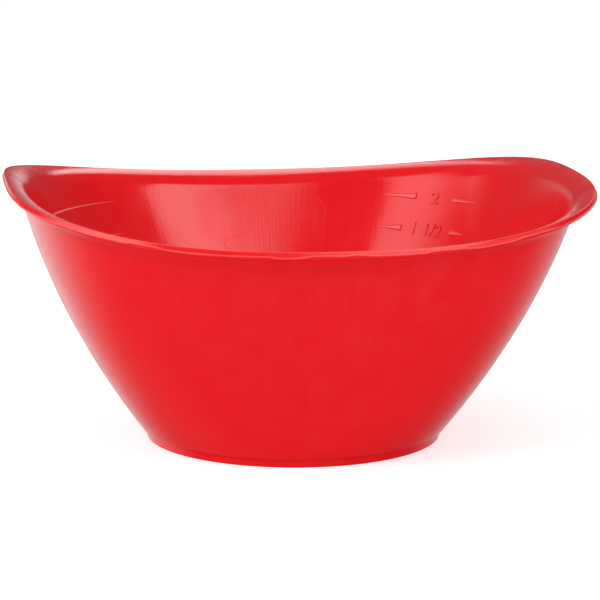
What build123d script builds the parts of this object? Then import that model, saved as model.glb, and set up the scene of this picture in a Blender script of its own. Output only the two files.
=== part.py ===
"""Hair color mixing bowl: one moulded plastic shell on a round foot, with a flared saddle rim.

Millimetres. The bowl rests on Z = 0 with +Z up. +X points at one of the two raised ends of
the rim and +Y at one of the two low sides. The section is a circle at the foot and turns
into a rounded square towards the rim.
"""
from build123d import *
from cmath import phase
from math import cos, degrees, pi, radians, sin, tan
import os

# Foot
foot_radius = 38.05
foot_height = 2.28
foot_sink = 1.0
foot_ring_width = 2.4
recess_depth = 1.8
recess_draft = 15
foot_edge_radius = 0.4
gate_radius = 2.2
gate_height = 0.7

# Wall
wall_thickness = 1.7
wall_base_radius = 39.09
wall_base_round = 0.35
wall_lean = 0.799
wall_upright_turn = 0.00401
wall_square = 0.06
wall_corner = 0.0064
floor_height = 3.8
floor_corner_radius = 5.0

# Rim, measured at the parting ridge, which is the outermost line of the lip
rim_radius = 76.73
rim_oval = 1.41
rim_square = 3.72
rim_corner = 0.36
rim_height = 62.62
rim_rise = 4.49
rim_rise_square = 0.12
rim_rise_corner = 0.28

# Flange, from the wall out to the lip
flange_height = 4.6
flange_slope = radians(13)
flange_bend = 0.8
lip_inset = 0.35
lip_drop = 0.6
ridge_width = 0.25
ridge_proud = 0.14
lip_face_rise = 0.75

# Measuring wedges raised on the inside at 1/2, 1, 1 1/2 and 2 cups. Each one runs from its tall
# end to its fine end, in degrees of azimuth. A pair flanks the room left for the figures.
wedges = (
    (22.2, ((56, 62), (38, 32))),
    (34.7, ((54, 60), (40.3, 34.5))),
    (44.8, ((54, 59.8), (40.3, 36))),
    (53.3, ((51.9, 60), (42, 35))),
)
wedge_tall = 1.6
wedge_proud = 0.5
line_span = (150, 126)
line_tall = 0.9
line_proud = 0.4
fine_part = 0.2
tick_stations = (0, 0.3, 0.65, 1)

# Smoothness of the lofted skins
curve_points = 24
wall_steps = 5
flange_steps = 8


def lean(a):
    """Outward run of the wall at the foot for each millimetre of rise, most at the corners."""
    return wall_lean - wall_square * cos(4 * a) + wall_corner * cos(6 * a)


def wall_radius(z, a):
    """Outer radius of the wall at height z and azimuth a."""
    rise = z - foot_height
    return wall_base_radius + rise * lean(a) - wall_upright_turn * rise**2


def wall_run(z, a):
    """Outward run of the wall at height z for each millimetre of rise."""
    return lean(a) - 2 * wall_upright_turn * (z - foot_height)


def rim_line(a):
    """Parting ridge of the lip, as radius + height * 1j."""
    radius = rim_radius + rim_oval * cos(2 * a) - rim_square * cos(4 * a)
    height = rim_height + rim_rise * cos(2 * a) + rim_rise_square * cos(4 * a)
    sharper = cos(6 * a)
    radius -= rim_corner * sharper
    height -= rim_rise_corner * sharper
    return complex(radius, height)


def wall_line(u, a, depth):
    """Point at part u of the wall, from the foot (0) to the flange (1), depth below its skin."""
    top = rim_line(a).imag - flange_height
    base = foot_height if depth == 0 else floor_height
    z = base + u * (top - base)
    return complex(wall_radius(z, a) - depth * abs(complex(wall_run(z, a), 1)), z)


def cross(one, other):
    """Signed area spanned by two directions of a meridian section."""
    return (one.conjugate() * other).imag


def flange_line(v, a, depth):
    """Point at part v of the flange's curve, from the wall (0) to the lip (1)."""
    z = rim_line(a).imag - flange_height
    start = complex(wall_radius(z, a), z)
    end = rim_line(a) - complex(lip_inset, lip_drop)
    up = complex(wall_run(z, a), 1)
    out = complex(1, tan(flange_slope))
    corner = start + up * cross(end - start, out) / cross(up, out)
    first = start + flange_bend * (corner - start)
    second = end + flange_bend * (corner - end)
    w = 1 - v
    point = start * w**3 + 3 * first * w * w * v + 3 * second * w * v * v + end * v**3
    along = (first - start) * w * w + 2 * (second - first) * w * v + (end - second) * v * v
    return point + depth * 1j * along / abs(along)


def ring(section):
    """Closed smooth line around the bowl through the section's point at every azimuth."""
    points = []
    for i in range(curve_points):
        a = 2 * pi * i / curve_points
        place = section(a)
        points.append((place.real * cos(a), place.real * sin(a), place.imag))
    with BuildLine() as line:
        Spline(*points, periodic=True)
    return line.wire()


def skin_rings(depth):
    """Rings of the outer skin (depth 0) or of the inner skin, from the base to the lip."""
    rings = [ring(lambda a: wall_line(i / wall_steps, a, depth)) for i in range(wall_steps)]
    for i in range(flange_steps + 1):
        rings.append(ring(lambda a: flange_line(i / flange_steps, a, depth)))
    return rings


def tick(level, first, last, tall, proud):
    """Tapered bar half sunk in the inner skin at one level, tall and proud at its first azimuth."""
    with BuildPart() as bar:
        for part in tick_stations:
            a = radians(first + part * (last - first))
            slant = complex(wall_run(level, a), 1)
            radius = wall_radius(level, a) - wall_thickness * abs(slant)
            left = 1 - part * (1 - fine_part)
            meridian = Plane((0, 0, level), x_dir=(cos(a), sin(a), 0), z_dir=(sin(a), -cos(a), 0))
            with BuildSketch(meridian):
                with Locations((radius, 0)):
                    Rectangle(2 * proud * left, tall * left, rotation=-degrees(phase(slant * -1j)))
        loft()
    return bar.part


outer_rings = skin_rings(0)
inner_rings = skin_rings(wall_thickness)
lip_rings = [
    outer_rings[-1],
    ring(lambda a: rim_line(a) - complex(ridge_proud, ridge_width)),
    ring(rim_line),
    ring(lambda a: rim_line(a) + complex(-ridge_proud, ridge_width)),
    ring(lambda a: rim_line(a) + complex(-ridge_proud, lip_face_rise)),
    inner_rings[-1],
]
skins = [
    *Shell.make_loft(outer_rings[: wall_steps + 1]).faces(),
    *Shell.make_loft(outer_rings[wall_steps:]).faces(),
    *Shell.make_loft(lip_rings, ruled=True).faces(),
    *Shell.make_loft(inner_rings[wall_steps:]).faces(),
    *Shell.make_loft(inner_rings[: wall_steps + 1]).faces(),
    Face(outer_rings[0]),
    Face(inner_rings[0]),
]

ticks = []
for level, spans in wedges:
    ticks += [tick(level, first, last, wedge_tall, wedge_proud) for first, last in spans]
    ticks.append(tick(level, *line_span, line_tall, line_proud))

with BuildPart() as bowl:
    add(Solid(Shell(skins)))
    fillet(bowl.faces().filter_by(Plane.XY).sort_by(Axis.Z)[-1].edges(), floor_corner_radius)
    fillet(bowl.faces().filter_by(Plane.XY).sort_by(Axis.Z)[0].edges(), wall_base_round)
    with BuildSketch(Plane.XY):
        Circle(foot_radius)
    extrude(amount=foot_height + foot_sink)
    fillet(bowl.faces().filter_by(Plane.XY).sort_by(Axis.Z)[0].edges(), foot_edge_radius)
    with BuildSketch(Plane.XY):
        Circle(foot_radius - foot_ring_width)
    extrude(amount=recess_depth, taper=recess_draft, mode=Mode.SUBTRACT)
    with BuildSketch(Plane.XY.offset(recess_depth)):
        Circle(gate_radius)
    extrude(amount=-gate_height, taper=recess_draft)
    add(ticks)
os.makedirs("parts", exist_ok=True)
bowl.part.label = "bowl"
export_step(bowl.part, "parts/bowl.step")
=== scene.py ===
import math

import bmesh
import bpy
import numpy as np
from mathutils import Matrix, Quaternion, Vector


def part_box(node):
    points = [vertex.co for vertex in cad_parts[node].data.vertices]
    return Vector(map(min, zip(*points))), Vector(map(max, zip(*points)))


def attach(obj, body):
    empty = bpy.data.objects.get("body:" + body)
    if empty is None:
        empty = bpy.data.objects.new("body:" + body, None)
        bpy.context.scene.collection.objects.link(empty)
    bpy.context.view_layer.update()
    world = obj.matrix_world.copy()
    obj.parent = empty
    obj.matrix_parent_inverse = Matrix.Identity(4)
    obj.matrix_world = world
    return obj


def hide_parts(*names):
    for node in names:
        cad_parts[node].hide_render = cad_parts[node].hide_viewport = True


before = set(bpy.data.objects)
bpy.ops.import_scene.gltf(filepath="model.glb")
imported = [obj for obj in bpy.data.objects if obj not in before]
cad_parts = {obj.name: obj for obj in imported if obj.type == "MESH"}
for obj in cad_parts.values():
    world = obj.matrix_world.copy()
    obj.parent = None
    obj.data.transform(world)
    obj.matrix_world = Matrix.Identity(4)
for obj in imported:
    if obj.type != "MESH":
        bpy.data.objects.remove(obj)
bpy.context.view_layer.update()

LOW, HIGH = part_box("bowl")
MM = 0.001
TURN = 2 * math.pi
AIM = Vector((0, 0, 0.04))

# ---------------------------------------------------------------- dimensions of the moulding
FOOT_RADIUS = 38.05 * MM
FOOT_HEIGHT = 2.28 * MM
FOOT_RING = 2.4 * MM
RECESS = 1.8 * MM
GATE_RADIUS = 2.2 * MM
GATE_HEIGHT = 0.7 * MM
WALL = 1.7 * MM
WALL_BASE_RADIUS = 39.09 * MM
WALL_LEAN = 0.799
WALL_TURN = 0.00401 / MM
WALL_SQUARE = 0.06
WALL_CORNER = 0.0064
FLOOR = 3.8 * MM
FLOOR_CORNER = 5.0 * MM

LIP_INSET = 0.35 * MM
LIP_DROP = 0.6 * MM
LIP_BULGE = 0.13 * MM
LIP_SQUARENESS = 0.5
LIP_CREST = 1.084 * MM
RIM_SQUARE = 3.72 * MM
RIM_CORNER = 0.36 * MM
RIM_RISE = 4.49 * MM
RIM_RISE_SQUARE = 0.12 * MM
RIM_RISE_CORNER = 0.28 * MM
HALF_LONG = min(HIGH.x, -LOW.x)
HALF_WIDE = min(HIGH.y, -LOW.y)
RIM_OVAL = (HALF_LONG - HALF_WIDE) / 2 + RIM_CORNER
RIM_RADIUS = (HALF_LONG + HALF_WIDE) / 2 + RIM_SQUARE
RIM_HEIGHT = HIGH.z - LIP_CREST - RIM_RISE - RIM_RISE_SQUARE + RIM_RISE_CORNER
FLANGE_HEIGHT = 4.6 * MM
FLANGE_SLOPE = math.radians(13)
FLANGE_BEND = 0.8

AROUND = 1080
WALL_STEPS = 34
FLANGE_STEPS = 26
LIP_STEPS = 44


def lean(a):
    """The wall's lean at the foot, which turns the circle there into a rounded square above."""
    return WALL_LEAN - WALL_SQUARE * np.cos(4 * a) + WALL_CORNER * np.cos(6 * a)


def wall_radius(z, a):
    rise = z - FOOT_HEIGHT
    return WALL_BASE_RADIUS + rise * lean(a) - WALL_TURN * rise**2


def wall_run(z, a):
    """Outward run of the wall for each metre of rise."""
    return lean(a) - 2 * WALL_TURN * (z - FOOT_HEIGHT)


def rim_line(a):
    """Parting line of the lip as radius + height * 1j, the bowl's outermost line."""
    radius = RIM_RADIUS + RIM_OVAL * np.cos(2 * a) - RIM_SQUARE * np.cos(4 * a)
    height = RIM_HEIGHT + RIM_RISE * np.cos(2 * a) + RIM_RISE_SQUARE * np.cos(4 * a)
    radius -= RIM_CORNER * np.cos(6 * a)
    height -= RIM_RISE_CORNER * np.cos(6 * a)
    return radius + 1j * height


def flange_start(a):
    return rim_line(a).imag - FLANGE_HEIGHT


def cross(one, other):
    """Signed area spanned by two directions of a section."""
    return (np.conj(one) * other).imag


def flange_point(v, a, depth):
    """Point at part v of the flange's curve, depth below its outer skin, and its direction."""
    z = flange_start(a)
    start = wall_radius(z, a) + 1j * z
    end = rim_line(a) - complex(LIP_INSET, LIP_DROP)
    up = wall_run(z, a) + 1j
    out = complex(1, math.tan(FLANGE_SLOPE))
    corner = start + up * cross(end - start, out) / cross(up, out)
    first = start + FLANGE_BEND * (corner - start)
    second = end + FLANGE_BEND * (corner - end)
    w = 1 - v
    point = start * w**3 + 3 * first * w * w * v + 3 * second * w * v * v + end * v**3
    along = (first - start) * w * w + 2 * (second - first) * w * v + (end - second) * v * v
    along = along / abs(along)
    return point + depth * 1j * along, along


def wall_point(z, a, depth):
    return wall_radius(z, a) - depth * abs(wall_run(z, a) + 1j) + 1j * z


# ---------------------------------------------------------------- parting line flash
# The reach of a step is in degrees around the rim, and the next two are in mm.
STEP_REACH = 9
FLASH_HEIGHT = -0.34
FLASH_PROUD = 0.21
FLASH_ABOVE = 0.08 * MM
FLASH_BELOW = 0.28 * MM


def degrees_past(a, azimuth):
    """How far each angle lies past an azimuth in degrees, between -180 and 180."""
    return (np.degrees(a) - azimuth + 180) % 360 - 180


def steps(a, edges):
    """Sum of smooth steps around the rim. Each edge is (azimuth in degrees, rise, width)."""
    total = np.zeros_like(a)
    for azimuth, rise, width in edges:
        apart = degrees_past(a, azimuth)
        settling = np.exp(-((np.maximum(apart, 0) / STEP_REACH) ** 2))
        total += rise * (1 + np.tanh(2 * apart / width)) / 2 * settling
    return total


def ripple(a, seed, waves):
    """Smooth uneven line around the rim, between about -1 and 1, with the given wave counts."""
    draw = np.random.default_rng(seed)
    total = np.zeros_like(a)
    for count in waves:
        total += np.sin(count * a + draw.uniform(0, TURN)) * draw.uniform(0.5, 1)
    return total / len(waves)


FLASH_STEPS = (
    # azimuth, change of height in mm, width of the change, all around the parting line
    (24, 0.25, 1.5),
    (61, -0.3, 1.2),
    (97, 0.28, 1.0),
    (141, -0.22, 1.5),
    (166, 0.2, 1),
    (202.5, -0.25, 0.8),
    (232.1, 0.3, 1.2),
    (237.8, -0.3, 2.5),
    (257.3, -0.34, 1.0),
    (263.3, 0.34, 1.2),
    (271.4, 0.22, 0.8),
    (275.1, -0.25, 1.2),
    (286.3, 0.3, 0.8),
    (293.8, -0.28, 2.0),
    (303.7, 0.26, 0.8),
    (313.2, -0.2, 1.5),
)
FLASH_BITES = (
    # azimuth, change of how far the flash stands out in mm, half width
    (38, 0.1, 1.0),
    (83, -0.08, 4),
    (122, 0.1, 0.9),
    (158, 0.1, 1),
    (202.5, 0.1, 1.0),
    (225.0, -0.03, 4),
    (232.1, 0.12, 1.2),
    (250.6, -0.04, 5),
    (271.4, 0.12, 0.8),
    (286.3, 0.12, 0.7),
    (303.7, 0.12, 0.8),
    (343.5, 0.1, 0.8),
    (351.8, 0.1, 0.8),
)


def flash_line(a):
    """Height of the flash above the middle of the lip's face, and how far it stands out."""
    height = FLASH_HEIGHT + 0.05 * ripple(a, 3, (17, 29, 41, 67)) + steps(a, FLASH_STEPS)
    proud = FLASH_PROUD + 0.05 * ripple(a, 5, (31, 53, 87, 131, 199))
    for azimuth, change, half in FLASH_BITES:
        apart = degrees_past(a, azimuth)
        proud = proud + change * np.exp(-((apart / half) ** 2))
    return height * MM, np.clip(proud, 0.02, 0.25) * MM


def lip_heights():
    """Heights of the lip's stations from its middle, in halves of its thickness."""
    even = np.arange(1, LIP_STEPS) / LIP_STEPS
    return -0.65 * np.cos(math.pi * even) + 0.35 * (2 * even - 1)


def lip_points(a):
    """Stations round the lip from its underside, over the face and the flash, to its crest."""
    under, along = flange_point(1.0, a, 0)
    middle = under + 0.5 * WALL * 1j * along
    ridge_at, proud = flash_line(a)
    stations = []
    for height in lip_heights():
        y = height * WALL / 2
        bulge = LIP_BULGE * (1 - abs(height) ** (2 / LIP_SQUARENESS)) ** LIP_SQUARENESS
        apart = y - ridge_at
        width = np.where(apart > 0, FLASH_ABOVE, FLASH_BELOW)
        flash = proud * np.exp(-((apart / width) ** 2))
        stations.append(middle + along * (bulge + flash) + 1j * along * y)
    return stations


def lip_painted_highlight(a):
    """How much painted highlight each station of the lip gets: along the flash and along the crest.
    """
    ridge_at, proud = flash_line(a)
    patchy = 0.75 + 0.25 * ripple(a, 8, (13, 37, 71, 103, 167))
    painted_highlight = []
    for height in lip_heights():
        y = height * WALL / 2
        apart = np.abs(y - ridge_at - 0.04 * MM)
        flash = np.exp(-((apart / (0.17 * MM)) ** 4)) * np.clip(proud / (0.2 * MM), 0, 1.2)
        crest = np.exp(-(((y - 0.47 * WALL) / (0.1 * MM)) ** 2))
        painted_highlight.append((0.6 * flash + 0.4 * crest) * patchy)
    return painted_highlight


# ---------------------------------------------------------------- the shell
def rounded(corners, steps_each=6):
    """Polyline of (point, cut) corners with each corner rounded over its cut length."""
    stations = []
    for i, (point, cut) in enumerate(corners):
        if cut == 0:
            stations.append(point)
            continue
        before, after = corners[i - 1][0] - point, corners[i + 1][0] - point
        start = point + before / abs(before) * cut
        end = point + after / abs(after) * cut
        for k in range(steps_each + 1):
            t = k / steps_each
            stations.append(start * (1 - t) ** 2 + 2 * point * t * (1 - t) + end * t * t)
    return stations


def shell_stations(a):
    """Closed section, from under the floor's centre to above it, and how much painted highlight
    each station gets.
    """
    zero = np.zeros_like(a, dtype=complex)
    recess_radius = FOOT_RADIUS - FOOT_RING - RECESS * math.tan(math.radians(15))
    first_wall = wall_point(FOOT_HEIGHT + 2 * MM, a, 0)
    below = rounded([
        (zero + complex(0.02 * MM, RECESS - GATE_HEIGHT), 0),
        (zero + complex(GATE_RADIUS, RECESS - GATE_HEIGHT), 0.25 * MM),
        (zero + complex(GATE_RADIUS + 0.2 * MM, RECESS), 0.25 * MM),
        (zero + complex(recess_radius, RECESS), 0.6 * MM),
        (zero + complex(FOOT_RADIUS - FOOT_RING, 0), 0.4 * MM),
        (zero + complex(FOOT_RADIUS, 0), 0.5 * MM),
        (zero + complex(FOOT_RADIUS + 0.15 * MM, FOOT_HEIGHT), 0.4 * MM),
        (zero + complex(WALL_BASE_RADIUS, FOOT_HEIGHT), 0.45 * MM),
        (first_wall, 0),
    ])
    top = flange_start(a)
    foot = FOOT_HEIGHT + 2 * MM
    wall = [wall_point(foot + (top - foot) * k / WALL_STEPS, a, 0) for k in range(1, WALL_STEPS)]
    flange = [flange_point(k / FLANGE_STEPS, a, 0)[0] for k in range(FLANGE_STEPS + 1)]
    flange_top = [flange_point(k / FLANGE_STEPS, a, WALL)[0] for k in range(FLANGE_STEPS, -1, -1)]
    floor_edge = wall_point(FLOOR + 0 * a, a, WALL)
    inner_foot = FLOOR + FLOOR_CORNER * 1.05
    inner = []
    for k in range(WALL_STEPS - 1, 0, -1):
        inner.append(wall_point(inner_foot + (top - inner_foot) * k / WALL_STEPS, a, WALL))
    floor = rounded([
        (wall_point(inner_foot + 0 * a, a, WALL), 0),
        (floor_edge, FLOOR_CORNER * 0.8),
        (zero + complex(0.02 * MM, FLOOR), 0),
    ], 12)
    outside = below + wall + flange
    inside = flange_top + inner + floor
    no_highlight = np.zeros_like(a)
    painted_highlight = [no_highlight] * len(outside) + lip_painted_highlight(a) + [no_highlight] * len(inside)
    return outside + lip_points(a) + inside, painted_highlight


def mesh_object(name, verts, faces, smooth=True):
    mesh = bpy.data.meshes.new(name)
    mesh.from_pydata(verts, [], faces)
    mesh.polygons.foreach_set("use_smooth", [smooth] * len(mesh.polygons))
    mesh.update()
    piece = bpy.data.objects.new(name, mesh)
    bpy.context.scene.collection.objects.link(piece)
    return piece


def set_painted_highlight(piece, amounts):
    """Painted highlight: how pale each vertex is painted, between 0 and 1, which the material
    reads.
    """
    highlight_layer = piece.data.attributes.new("painted_highlight", "FLOAT", "POINT")
    highlight_layer.data.foreach_set("value", amounts)


def make_shell():
    a = np.arange(AROUND) * TURN / AROUND
    stations, painted_highlight = shell_stations(a)
    grid = np.array(stations)
    count = len(grid)
    xyz = np.stack([grid.real * np.cos(a), grid.real * np.sin(a), grid.imag], -1).reshape(-1, 3)
    step = np.arange(count - 1)[:, None] * AROUND
    i = np.arange(AROUND)[None, :]
    j = (i + 1) % AROUND
    quads = np.stack([step + i, step + j, step + AROUND + j, step + AROUND + i], -1).reshape(-1, 4)
    under = list(range(AROUND))[::-1]
    over = list(range((count - 1) * AROUND, count * AROUND))
    shell = mesh_object("bowl_shell", xyz.tolist(), quads.tolist() + [under, over])
    set_painted_highlight(shell, np.array(painted_highlight).ravel())
    return shell


# ---------------------------------------------------------------- raised measuring marks
SUNK = 0.2 * MM
FIGURE_SIZE = 5.0 * MM
FIGURE_PROUD = 0.3 * MM
FIGURE_EDGE = 0.09 * MM
WEDGE_TALL = 1.7 * MM
WEDGE_PROUD = 0.55 * MM
# Painted highlight on the upper and lower halves of the wedges and of the lines.
WEDGE_PAINTED_HIGHLIGHT = (0.12, 0.4)
LINE_SPAN = (150.0, 126.0)
LINE_TALL = 0.7 * MM
LINE_PROUD = 0.35 * MM
LINE_PAINTED_HIGHLIGHT = (1.0, 1.0)
MARKS = (
    # name, level in mm, azimuth of the number, the number, and wedges as (tall end, fine end)
    ("2_cups", 53.3, 47.0, "2", ((51.9, 60.0), (42.0, 35.0))),
    ("one_half_cups", 44.8, 47.0, "1 1/2", ((54.0, 59.8), (40.3, 36.0))),
    ("1_cup", 34.7, 47.0, "1", ((54.0, 60.0), (40.3, 34.5))),
    ("half_cup", 22.2, 47.0, "1/2", ((56.0, 62.0), (38.0, 32.0))),
)


def on_wall(azimuth, level, along, up, proud):
    """Point on the inside wall, from an azimuth in degrees and a level, shifted over the skin."""
    a = math.radians(azimuth)
    run = float(wall_run(level, np.array(a)))
    slant = math.hypot(run, 1)
    z = level + up / slant
    place = wall_point(z, np.array(a), WALL)
    a -= along / float(place.real)
    place = wall_point(z, np.array(a), WALL)
    run = float(wall_run(z, np.array(a)))
    radius = float(place.real) - proud / slant
    height = z + proud * run / slant
    return (radius * math.cos(a), radius * math.sin(a), height)


def make_tick(name, level, tall_end, fine_end, tall, proud, highlight_amounts):
    """Wedge on the wall, tall and proud at one end and fading out towards the other."""
    count = 28
    verts, faces = [], []
    profile = ((1, 0.3), (0.97, 0.55), (0.9, 0.78), (0.78, 0.93), (0.6, 1),
               (-0.6, 1), (-0.78, 0.93), (-0.9, 0.78), (-0.97, 0.55), (-1, 0.3))
    ring = len(profile) + 2
    for k in range(count + 1):
        t = k / count
        azimuth = tall_end + (fine_end - tall_end) * t
        half = tall * (1 - 0.88 * t) / 2
        out = proud * (1 - 0.8 * t)
        section = [(half, -SUNK)] + [(half * up, out * depth) for up, depth in profile]
        for up, depth in section + [(-half, -SUNK)]:
            verts.append(on_wall(azimuth, level, 0, up, depth))
    for k in range(count):
        for s in range(ring):
            n = (s + 1) % ring
            faces.append([k * ring + s, k * ring + n, (k + 1) * ring + n, (k + 1) * ring + s])
    faces += [list(range(ring))[::-1], [count * ring + s for s in range(ring)]]
    if fine_end > tall_end:
        faces = [face[::-1] for face in faces]
    piece = mesh_object(name, verts, faces)
    piece.data.set_sharp_from_angle(angle=math.radians(50))
    # Painted highlight: the upper and lower halves of each section are painted paler by the given
    # amounts.
    upper, lower = highlight_amounts
    set_painted_highlight(piece, ([upper] * (ring // 2) + [lower] * (ring // 2)) * (count + 1))
    return piece


def make_figures(name, text, level, azimuth, proud):
    """Raised plain number, upright and centred on the inside wall about an azimuth."""
    curve = bpy.data.curves.new(name, "FONT")
    curve.body = text
    curve.size = FIGURE_SIZE
    curve.extrude = 0.5 * (proud + SUNK)
    curve.bevel_depth = FIGURE_EDGE
    curve.bevel_resolution = 1
    curve.resolution_u = 6
    lettering = bpy.data.objects.new(name, curve)
    bpy.context.scene.collection.objects.link(lettering)
    depsgraph = bpy.context.evaluated_depsgraph_get()
    whole = bpy.data.meshes.new_from_object(lettering.evaluated_get(depsgraph))
    whole.name = name
    bpy.data.objects.remove(lettering)
    across = [vertex.co.x for vertex in whole.vertices]
    tall = [vertex.co.y for vertex in whole.vertices]
    middle, half_way = (min(across) + max(across)) / 2, (min(tall) + max(tall)) / 2
    for vertex in whole.vertices:
        x, y, z = vertex.co
        vertex.co = on_wall(azimuth, level, x - middle, y - half_way, z + 0.5 * (proud - SUNK))
    drawn = bmesh.new()
    drawn.from_mesh(whole)
    bmesh.ops.remove_doubles(drawn, verts=drawn.verts, dist=0.001 * MM)
    drawn.to_mesh(whole)
    drawn.free()
    piece = bpy.data.objects.new(name, whole)
    bpy.context.scene.collection.objects.link(piece)
    # Painted highlight: the lower edges of the figures are painted a little paler.
    whole.update()
    set_painted_highlight(piece, [min(max(-0.1 - 2 * vertex.normal.z, 0), 1) for vertex in whole.vertices])
    return piece


def make_marks():
    pieces = []
    for name, height, azimuth, number, wedges in MARKS:
        level = height * MM
        pieces.append(make_figures("figures_" + name, number, level, azimuth, FIGURE_PROUD))
        for side, (tall_end, fine_end) in enumerate(wedges):
            pieces.append(make_tick(f"wedge_{name}_{side}", level, tall_end, fine_end,
                                    WEDGE_TALL, WEDGE_PROUD, WEDGE_PAINTED_HIGHLIGHT))
        pieces.append(make_tick("line_" + name, level, *LINE_SPAN, LINE_TALL, LINE_PROUD,
                                LINE_PAINTED_HIGHLIGHT))
    return pieces


# ---------------------------------------------------------------- material
def node(tree, kind, **values):
    made = tree.nodes.new(kind)
    for key, value in values.items():
        if key in made.inputs:
            made.inputs[key].default_value = value
        else:
            setattr(made, key, value)
    return made


def span(tree, value, source, target):
    """Value eased from one range into another."""
    ease = node(tree, "ShaderNodeMapRange", interpolation_type="SMOOTHSTEP")
    for name, number in zip(("From Min", "From Max", "To Min", "To Max"), source + target):
        ease.inputs[name].default_value = number
    tree.links.new(value, ease.inputs["Value"])
    return ease.outputs["Result"]


def product(tree, factors):
    total = factors[0]
    for factor in factors[1:]:
        times = node(tree, "ShaderNodeMath", operation="MULTIPLY")
        tree.links.new(total, times.inputs[0])
        tree.links.new(factor, times.inputs[1])
        total = times.outputs[0]
    return total


def noise(tree, vector, scale, detail=2.0):
    made = node(tree, "ShaderNodeTexNoise", Scale=scale, Detail=detail, Roughness=0.55)
    tree.links.new(vector, made.inputs["Vector"])
    return made.outputs["Fac"]


def stretched(tree, vector, scale):
    """Coordinates squeezed along some axes, so that what is drawn on them comes out long."""
    made = node(tree, "ShaderNodeMapping")
    made.inputs["Scale"].default_value = scale
    tree.links.new(vector, made.inputs["Vector"])
    return made.outputs["Vector"]


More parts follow.
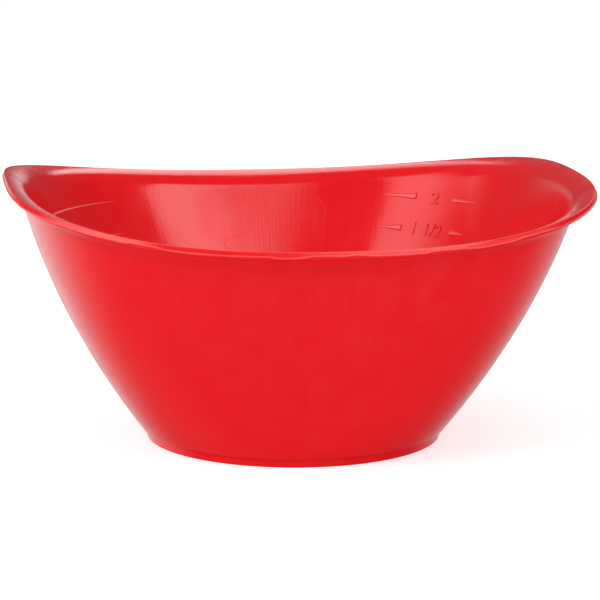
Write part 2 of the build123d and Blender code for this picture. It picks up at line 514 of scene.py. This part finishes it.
def red_plastic():
    """Glossy red plastic, with faint flow marks, drag lines, specks, scratches and painted
    highlights.
    """
    material = bpy.data.materials.new("red_plastic")
    material.use_nodes = True
    tree = material.node_tree
    shader = tree.nodes["Principled BSDF"]
    shader.inputs["IOR"].default_value = 1.49
    place = node(tree, "ShaderNodeTexCoord").outputs["Object"]
    axes = node(tree, "ShaderNodeSeparateXYZ")
    tree.links.new(place, axes.inputs[0])

    cloud = noise(tree, place, 55)
    colour = node(tree, "ShaderNodeMix", data_type="RGBA")
    colour.inputs["A"].default_value = (0.78, 0.0075, 0.014, 1)
    colour.inputs["B"].default_value = (0.83, 0.0115, 0.018, 1)
    tree.links.new(cloud, colour.inputs["Factor"])

    # Dust and small dents: sparse dots, a few tenths of a millimetre wide.
    dots = node(tree, "ShaderNodeTexVoronoi", Scale=82.0)
    tree.links.new(place, dots.inputs["Vector"])
    near_dot = span(tree, dots.outputs["Distance"], (0.008, 0.022), (1.0, 0.0))
    chosen = node(tree, "ShaderNodeSeparateColor")
    tree.links.new(dots.outputs["Color"], chosen.inputs[0])
    speck = product(tree, [near_dot, span(tree, chosen.outputs[0], (0.62, 0.66), (0.0, 1.0))])
    dirt = node(tree, "ShaderNodeMix", data_type="RGBA")
    dirt.inputs["B"].default_value = (0.30, 0.006, 0.008, 1)
    tree.links.new(speck, dirt.inputs["Factor"])
    tree.links.new(colour.outputs["Result"], dirt.inputs["A"])
    # Painted highlight: the flash, the crest of the lip and parts of the marks are painted paler.
    painted_highlight = node(tree, "ShaderNodeAttribute", attribute_name="painted_highlight").outputs["Fac"]
    painted_highlight_mix = node(tree, "ShaderNodeMix", data_type="RGBA")
    painted_highlight_mix.inputs["B"].default_value = (0.92, 0.2, 0.17, 1)
    tree.links.new(painted_highlight, painted_highlight_mix.inputs["Factor"])
    tree.links.new(dirt.outputs["Result"], painted_highlight_mix.inputs["A"])
    tree.links.new(painted_highlight_mix.outputs["Result"], shader.inputs["Base Color"])

    # Drag lines run up the wall and fade out over the floor.
    flat = node(tree, "ShaderNodeVectorMath", operation="MULTIPLY")
    flat.inputs[1].default_value = (1, 1, 0)
    tree.links.new(place, flat.inputs[0])
    bearing = node(tree, "ShaderNodeVectorMath", operation="NORMALIZE")
    tree.links.new(flat.outputs[0], bearing.inputs[0])
    rising = node(tree, "ShaderNodeVectorMath", operation="MULTIPLY_ADD")
    rising.inputs[1].default_value = (0, 0, 0.25)
    tree.links.new(place, rising.inputs[0])
    tree.links.new(bearing.outputs[0], rising.inputs[2])
    streaks = noise(tree, rising.outputs[0], 150, 3.0)
    reach = node(tree, "ShaderNodeVectorMath", operation="LENGTH")
    tree.links.new(flat.outputs[0], reach.inputs[0])
    faded = node(tree, "ShaderNodeMix")
    faded.inputs["A"].default_value = 0.5
    tree.links.new(span(tree, reach.outputs["Value"], (0.034, 0.044), (0.0, 1.0)),
                   faded.inputs["Factor"])
    tree.links.new(streaks, faded.inputs["B"])
    lines = faded.outputs["Result"]
    sheen = noise(tree, place, 160, 4.0)
    uneven = node(tree, "ShaderNodeMath", operation="ADD")
    tree.links.new(lines, uneven.inputs[0])
    tree.links.new(sheen, uneven.inputs[1])
    tree.links.new(span(tree, uneven.outputs[0], (0.7, 1.35), (0.11, 0.24)),
                   shader.inputs["Roughness"])

    # Hairline scratches: thin contour lines of a slow noise, kept to a few patches.
    slow = noise(tree, stretched(tree, place, (1.0, 1.0, 2.2)), 26, 0.0)
    patch = span(tree, noise(tree, place, 34, 1.0), (0.60, 0.66), (0.0, 1.0))
    off = node(tree, "ShaderNodeMath", operation="SUBTRACT")
    off.inputs[1].default_value = 0.5
    tree.links.new(slow, off.inputs[0])
    apart = node(tree, "ShaderNodeMath", operation="ABSOLUTE")
    tree.links.new(off.outputs[0], apart.inputs[0])
    scratch = product(tree, [span(tree, apart.outputs[0], (0.0006, 0.002), (0.3, 0.0)), patch])

    height = node(tree, "ShaderNodeMath", operation="MULTIPLY_ADD")
    height.inputs[1].default_value = 0.8
    tree.links.new(lines, height.inputs[0])
    grain = noise(tree, place, 1300, 1.0)
    rough = node(tree, "ShaderNodeMath", operation="MULTIPLY_ADD")
    rough.inputs[1].default_value = 0.45
    tree.links.new(grain, rough.inputs[0])
    tree.links.new(sheen, rough.inputs[2])
    tree.links.new(rough.outputs[0], height.inputs[2])
    soft = node(tree, "ShaderNodeBump", Strength=1.0, Distance=0.022 * MM)
    tree.links.new(height.outputs[0], soft.inputs["Height"])
    marked = node(tree, "ShaderNodeMath", operation="ADD")
    tree.links.new(scratch, marked.inputs[0])
    tree.links.new(speck, marked.inputs[1])
    sharp = node(tree, "ShaderNodeBump", Strength=1.0, Distance=0.06 * MM, invert=True)
    tree.links.new(marked.outputs[0], sharp.inputs["Height"])
    tree.links.new(soft.outputs["Normal"], sharp.inputs["Normal"])
    tree.links.new(sharp.outputs["Normal"], shader.inputs["Normal"])
    return material


# ---------------------------------------------------------------- stage, lights and camera
DIM = 0.03
PANELS = (
    # Edges in degrees of turn from the bowl's front, then bottom and top in degrees of rise, then
    # radiance. Each panel grows from its first edge to its second and fades between the others.
    (2, 18, 38, 48, 14, 48, 3.6),
    (40, 50, 72, 86, 0, 16, 1.3),
    (-114, -63, -46, -34, -8, 52, 2.5),
    (-125, -95, -62, -40, -6, 24, 1.9),
    (140, 150, 171, 173, 23, 62, 2.6),
    (171, 173, 180, 181, 28, 62, 2.2),
    (-181, -180, -172, -160, 28, 62, 1.5),
    (160, 166, 171, 175, -4, 7, 0.62),
    (-181, -180, -165, -150, -3, 6, 0.25),
)


def make_floor():
    half = 3.0
    corners = [(-half, -half, 0), (half, -half, 0), (half, half, 0), (-half, half, 0)]
    floor = mesh_object("floor", corners, [(0, 1, 2, 3)])
    material = bpy.data.materials.new("pale_floor")
    material.use_nodes = True
    shader = material.node_tree.nodes["Principled BSDF"]
    shader.inputs["Base Color"].default_value = (0.95, 0.95, 0.95, 1)
    shader.inputs["Roughness"].default_value = 0.9
    shader.inputs["Specular IOR Level"].default_value = 0.0
    shader.inputs["Emission Color"].default_value = (1, 1, 1, 1)
    path = node(material.node_tree, "ShaderNodeLightPath")
    lift = span(material.node_tree, path.outputs["Is Camera Ray"], (0.0, 1.0), (0.12, 0.5))
    material.node_tree.links.new(lift, shader.inputs["Emission Strength"])
    floor.data.materials.append(material)
    floor.visible_glossy = False


def added(tree, parts, base):
    """Sum of the parts, plus a base value."""
    total = None
    for part in parts:
        plus = node(tree, "ShaderNodeMath", operation="ADD")
        tree.links.new(part, plus.inputs[0])
        plus.inputs[1].default_value = base
        if total is not None:
            tree.links.new(total, plus.inputs[1])
        total = plus.outputs[0]
    return total


def make_world():
    """White backdrop and even fill light. What mirrors is dim, with softboxes and a pale table."""
    world = bpy.data.worlds.new("studio")
    world.use_nodes = True
    tree = world.node_tree
    tree.nodes.clear()
    place = node(tree, "ShaderNodeTexCoord")
    axes = node(tree, "ShaderNodeSeparateXYZ")
    tree.links.new(place.outputs["Generated"], axes.inputs[0])
    x, y, z = axes.outputs
    front = node(tree, "ShaderNodeMath", operation="MULTIPLY")
    front.inputs[1].default_value = -1
    tree.links.new(y, front.inputs[0])
    turn = node(tree, "ShaderNodeMath", operation="ARCTAN2")
    tree.links.new(x, turn.inputs[0])
    tree.links.new(front.outputs[0], turn.inputs[1])
    panels = []
    for begin, full, fade, end, bottom, top, radiance in PANELS:
        low, high = math.sin(math.radians(bottom)), math.sin(math.radians(top))
        panels.append(product(tree, [
            span(tree, turn.outputs[0], (math.radians(begin), math.radians(full)), (0.0, radiance)),
            span(tree, turn.outputs[0], (math.radians(fade), math.radians(end)), (1.0, 0.0)),
            span(tree, z, (low - 0.03, low + 0.03), (0.0, 1.0)),
            span(tree, z, (high - 0.02, high + 0.02), (1.0, 0.0)),
        ]))
    # The pale table around the bowl.
    panels.append(product(tree, [
        span(tree, y, (-0.1, 0.62), (0.0, 0.95)),
        span(tree, x, (-0.5, 0.7), (1.0, 0.58)),
        span(tree, z, (-0.10, -0.02), (1.0, 0.10)),
        span(tree, z, (-0.72, -0.2), (0.12, 1.0)),
    ]))
    seen = node(tree, "ShaderNodeBackground", Color=(1, 1, 1, 1), Strength=1.0)
    fill = node(tree, "ShaderNodeBackground", Color=(1, 1, 1, 1), Strength=0.6)
    mirrored = node(tree, "ShaderNodeBackground", Color=(1, 1, 1, 1))
    tree.links.new(added(tree, panels, DIM), mirrored.inputs["Strength"])
    path = node(tree, "ShaderNodeLightPath")
    mix = node(tree, "ShaderNodeMixShader")
    gloss = node(tree, "ShaderNodeMixShader")
    out = node(tree, "ShaderNodeOutputWorld")
    tree.links.new(path.outputs["Is Glossy Ray"], gloss.inputs["Fac"])
    tree.links.new(fill.outputs[0], gloss.inputs[1])
    tree.links.new(mirrored.outputs[0], gloss.inputs[2])
    tree.links.new(path.outputs["Is Camera Ray"], mix.inputs["Fac"])
    tree.links.new(gloss.outputs[0], mix.inputs[1])
    tree.links.new(seen.outputs[0], mix.inputs[2])
    tree.links.new(mix.outputs[0], out.inputs["Surface"])
    bpy.context.scene.world = world


def make_softbox(name, turn, rise, distance, size, radiance):
    """Softbox aimed at the bowl, at an azimuth and an elevation in degrees from its front."""
    away = math.cos(math.radians(rise)) * distance
    place = Vector((math.sin(math.radians(turn)) * away, -math.cos(math.radians(turn)) * away,
                    AIM.z + math.sin(math.radians(rise)) * distance))
    data = bpy.data.lights.new(name, "AREA")
    data.shape = "RECTANGLE"
    data.size, data.size_y = size
    data.energy = radiance * math.pi * size[0] * size[1]
    light = bpy.data.objects.new(name, data)
    light.location = place
    light.rotation_mode = "QUATERNION"
    light.rotation_quaternion = (AIM - place).to_track_quat("-Z", "Y")
    light.visible_camera = False
    light.visible_glossy = False
    bpy.context.scene.collection.objects.link(light)


def make_camera():
    """Long lens at the bowl's front, a little above the rim and turned towards its +X end."""
    distance = 0.6819
    elevation = 0.1843
    azimuth = 0.1595
    roll = 0.0037
    aside, height = 1.67 * MM, 35.09 * MM
    ahead = Vector((math.sin(azimuth), math.cos(azimuth), 0))
    right = Vector((math.cos(azimuth), -math.sin(azimuth), 0))
    look = ahead * math.cos(elevation) - Vector((0, 0, math.sin(elevation)))
    data = bpy.data.cameras.new("camera")
    data.sensor_width = 36
    data.lens = 158.34
    data.clip_start = 0.01
    camera = bpy.data.objects.new("camera", data)
    camera.location = right * aside + Vector((0, 0, height)) - look * distance
    camera.rotation_mode = "QUATERNION"
    camera.rotation_quaternion = look.to_track_quat("-Z", "Y") @ Quaternion((0, 0, 1), roll)
    bpy.context.scene.collection.objects.link(camera)
    bpy.context.scene.camera = camera


make_world()
make_floor()
make_camera()
make_softbox("softbox_right", 36, 34, 1.4, (0.75, 0.7), 2.6)
make_softbox("softbox_left", -60, 36, 1.4, (0.9, 0.8), 3.8)
bpy.context.scene.view_settings.view_transform = "Standard"

plastic = red_plastic()
shell = make_shell()
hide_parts("bowl")
for piece in [shell] + make_marks():
    piece.data.materials.clear()
    piece.data.materials.append(plastic)
    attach(piece, "root")
